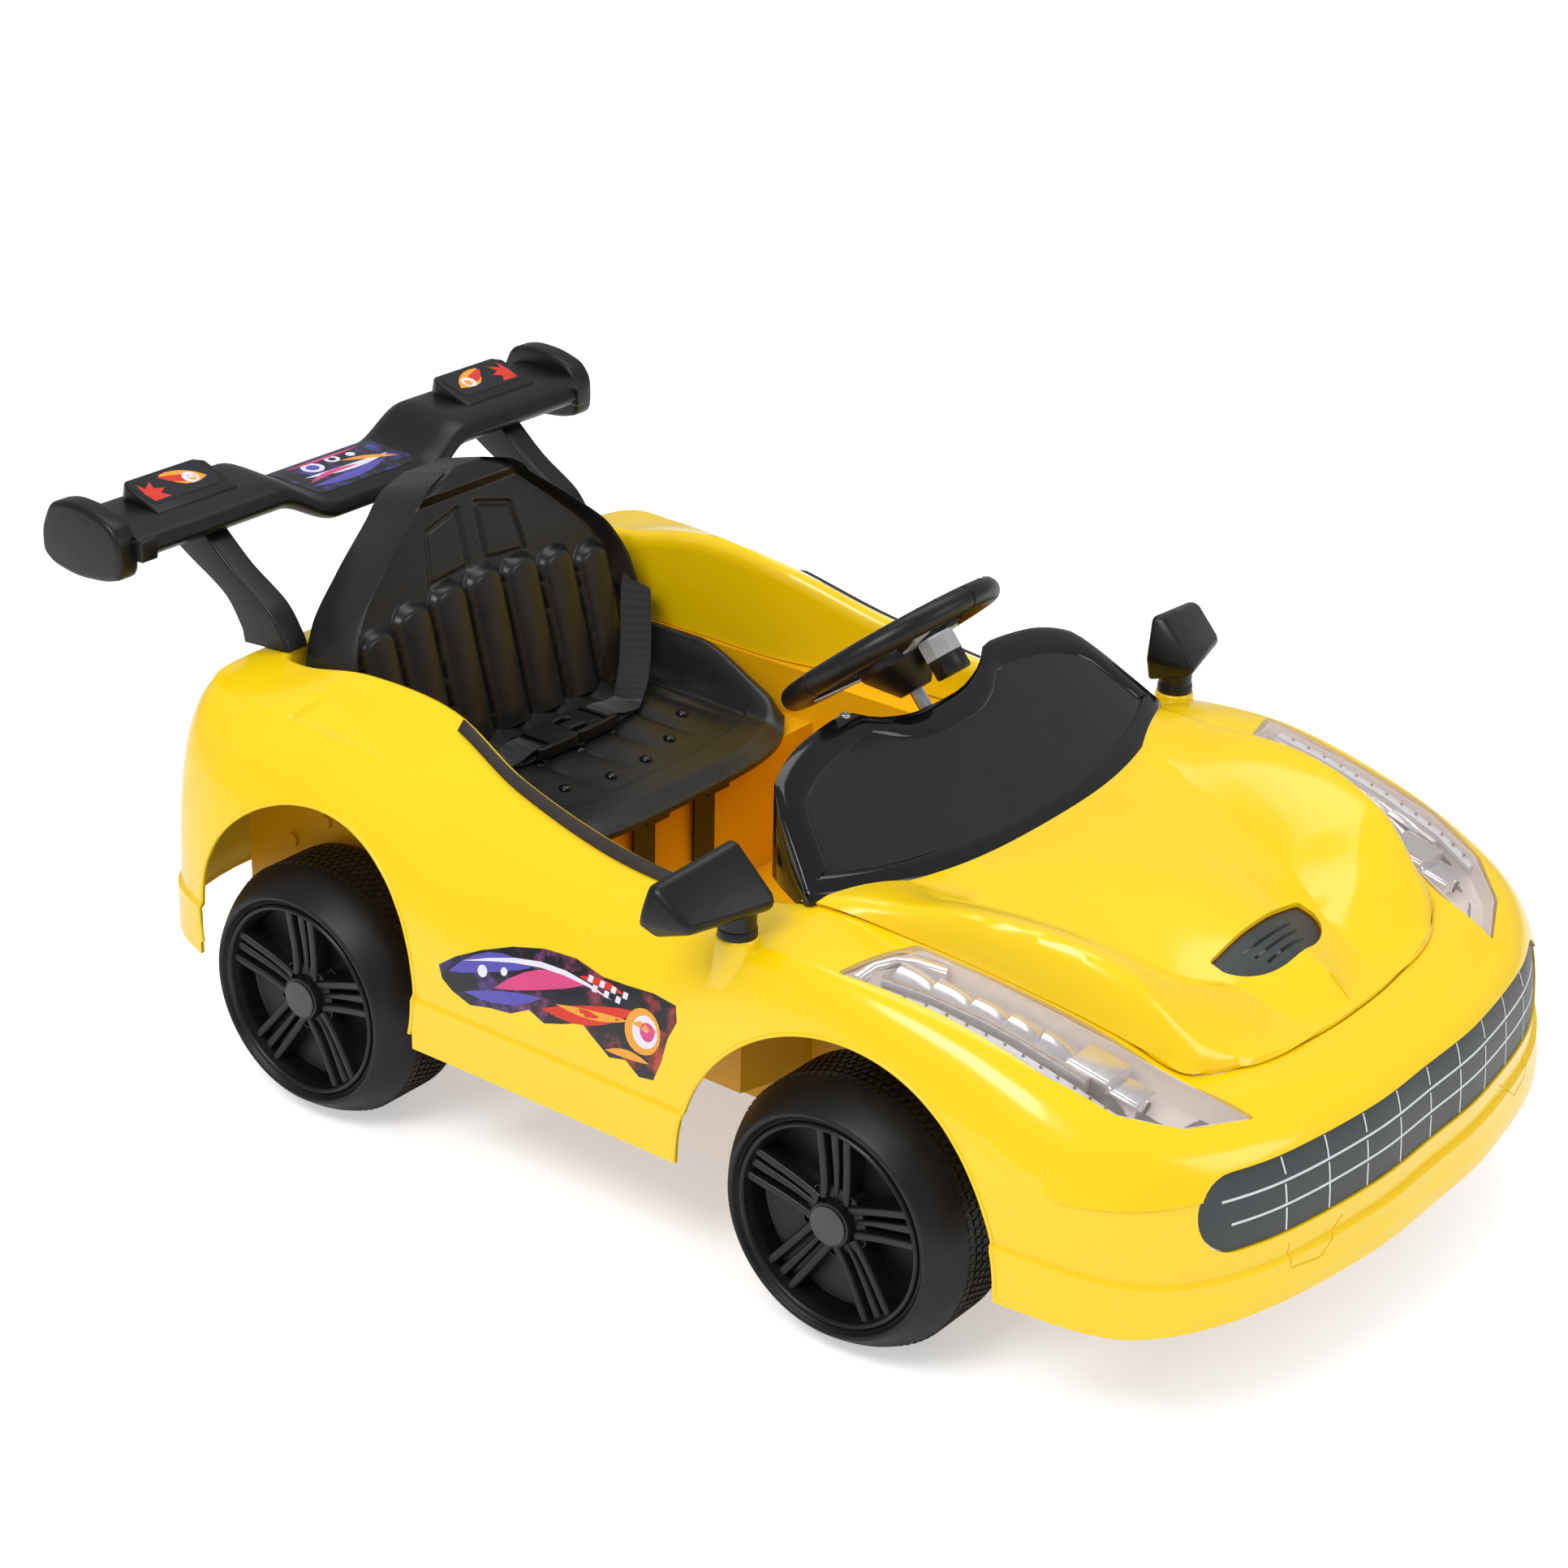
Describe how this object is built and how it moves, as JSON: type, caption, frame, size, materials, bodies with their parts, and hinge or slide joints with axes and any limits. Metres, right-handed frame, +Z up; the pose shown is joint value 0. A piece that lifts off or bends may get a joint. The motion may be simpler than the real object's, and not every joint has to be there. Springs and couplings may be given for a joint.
{
  "type": "ride-on car",
  "caption": "Child's electric ride-on car with bucket seat, steered front wheels, sprung pedal and a rear wing.",
  "frame": {"origin": "on the ground, under the middle of the car's bounding box", "axes": "+X forward, +Y to the driver's left, +Z up"},
  "size_m": [1.0322, 0.6492, 0.4182],
  "materials": {
    "body_yellow": "high gloss injection moulding",
    "tub_orange": "semi-gloss moulding",
    "gloss_black": "high gloss black",
    "satin_black": "satin blow moulding",
    "wheel_black": "satin, hard plastic tyre",
    "sticker_grey": "printed foil",
    "chrome": "plated plastic",
    "clear_lens": "clear moulded lens",
    "red_lens": "clear red",
    "zinc_steel": "zinc plated",
    "black_steel": "black paint",
    "silver_plastic": "silver paint",
    "red_plastic": "gloss",
    "webbing": "woven",
    "grey_plastic": "matte",
    "mirror_foil": "mirror foil"
  },
  "bodies": {
    "car": {"battery": "grey_plastic", "belt_buckle": "satin_black", "belt_webbing_left": "webbing", "belt_webbing_right": "webbing", "body_shell": "body_yellow", "bonnet": "body_yellow", "bonnet_scoop": "sticker_grey", "column_bush": "grey_plastic", "floor_tub": "tub_orange", "grille_insert": "sticker_grey", "headlight_lens_left": "clear_lens", "headlight_lens_right": "clear_lens", "headlight_reflector_left": "chrome", "headlight_reflector_right": "chrome", "kingpin_bracket_left": "black_steel", "kingpin_bracket_right": "black_steel", "mirror_stub_left": "gloss_black", "mirror_stub_right": "gloss_black", "motor_gearbox": "grey_plastic", "pedal_base": "satin_black", "rear_axle": "zinc_steel", "rear_wheel_spacer": "grey_plastic", "seat": "satin_black", "seat_bracket_left": "black_steel", "seat_bracket_right": "black_steel", "sill_trim_left": "satin_black", "sill_trim_right": "satin_black", "spoiler_strut_left": "satin_black", "spoiler_strut_right": "satin_black", "spoiler_wing": "satin_black", "switch_collar": "satin_black", "tail_lamp_left": "red_lens", "tail_lamp_right": "red_lens", "windshield": "gloss_black", "windshield_panel": "gloss_black"},
    "steering": {"steering_wheel": "satin_black", "steering_shaft": "zinc_steel"},
    "horn": {"horn_button": "silver_plastic"},
    "knuckle_left": {"steering_knuckle_left": "zinc_steel"},
    "knuckle_right": {"steering_knuckle_right": "zinc_steel"},
    "tie_rod_bar": {"tie_rod": "zinc_steel"},
    "pedal": {"accelerator_pedal": "satin_black"},
    "switch_rocker": {"direction_switch": "red_plastic"},
    "mirror_left": {"mirror_housing_left": "satin_black", "mirror_glass_left": "mirror_foil"},
    "mirror_right": {"mirror_housing_right": "satin_black", "mirror_glass_right": "mirror_foil"},
    "wheel_front_left": {"tyre_front_left": "wheel_black", "rim_front_left": "gloss_black", "hub_cap_front_left": "satin_black"},
    "wheel_front_right": {"tyre_front_right": "wheel_black", "rim_front_right": "gloss_black", "hub_cap_front_right": "satin_black"},
    "wheel_rear_left": {"tyre_rear_left": "wheel_black", "rim_rear_left": "gloss_black", "hub_cap_rear_left": "satin_black"},
    "wheel_rear_right": {"tyre_rear_right": "wheel_black", "rim_rear_right": "gloss_black", "hub_cap_rear_right": "satin_black"}
  },
  "joints": [
    {"name": "steering_turn", "type": "hinge", "parent": "car", "child": "steering", "pos_m": [0.064, 0, 0.3595], "axis": [-0.6428, 0, 0.766], "range_deg": [-40, 40]},
    {"name": "horn_press", "type": "slide", "parent": "steering", "child": "horn", "axis": [-0.6428, 0, 0.766], "range_m": [-0.002, 0], "stiffness_N_per_m": 400, "springref_m": 0.002},
    {"name": "kingpin_left", "type": "hinge", "parent": "car", "child": "knuckle_left", "pos_m": [0.235, 0.19, 0.15], "axis": [0, 0, 1], "range_deg": [-20, 20]},
    {"name": "kingpin_right", "type": "hinge", "parent": "car", "child": "knuckle_right", "pos_m": [0.235, -0.19, 0.15], "axis": [0, 0, 1], "range_deg": [-20, 20]},
    {"name": "tie_rod_shift", "type": "slide", "parent": "car", "child": "tie_rod_bar", "axis": [0, 1, 0], "range_m": [-0.0154, 0.0154]},
    {"name": "wheel_spin_front_left", "type": "hinge", "parent": "knuckle_left", "child": "wheel_front_left", "pos_m": [0.235, 0.2475, 0.095], "axis": [0, 1, 0], "continuous": true},
    {"name": "wheel_spin_front_right", "type": "hinge", "parent": "knuckle_right", "child": "wheel_front_right", "pos_m": [0.235, -0.2475, 0.095], "axis": [0, 1, 0], "continuous": true},
    {"name": "wheel_spin_rear_left", "type": "hinge", "parent": "car", "child": "wheel_rear_left", "pos_m": [-0.233, 0.253, 0.095], "axis": [0, 1, 0], "continuous": true},
    {"name": "wheel_spin_rear_right", "type": "hinge", "parent": "car", "child": "wheel_rear_right", "pos_m": [-0.233, -0.253, 0.095], "axis": [0, 1, 0], "continuous": true},
    {"name": "pedal_press", "type": "hinge", "parent": "car", "child": "pedal", "pos_m": [0.035, -0.07, 0.0948], "axis": [0, 1, 0], "range_deg": [0, 10], "stiffness_Nm_per_rad": 1, "springref_deg": -17.19},
    {"name": "switch_rock", "type": "hinge", "parent": "car", "child": "switch_rocker", "pos_m": [-0.018, -0.1825, 0.232], "axis": [0, 1, 0], "range_deg": [-8, 8]},
    {"name": "mirror_fold_left", "type": "hinge", "parent": "car", "child": "mirror_left", "pos_m": [0.1395, 0.26, 0.27], "axis": [0, 0, 1], "range_deg": [-30, 30]},
    {"name": "mirror_fold_right", "type": "hinge", "parent": "car", "child": "mirror_right", "pos_m": [0.1395, -0.26, 0.27], "axis": [0, 0, 1], "range_deg": [-30, 30]}
  ],
  "couplings": [
    {"joint": "kingpin_left", "follows": "steering_turn", "ratio": 0.5},
    {"joint": "kingpin_right", "follows": "steering_turn", "ratio": 0.5},
    {"joint": "tie_rod_shift", "follows": "steering_turn", "m_per_rad": 0.02204}
  ]
}
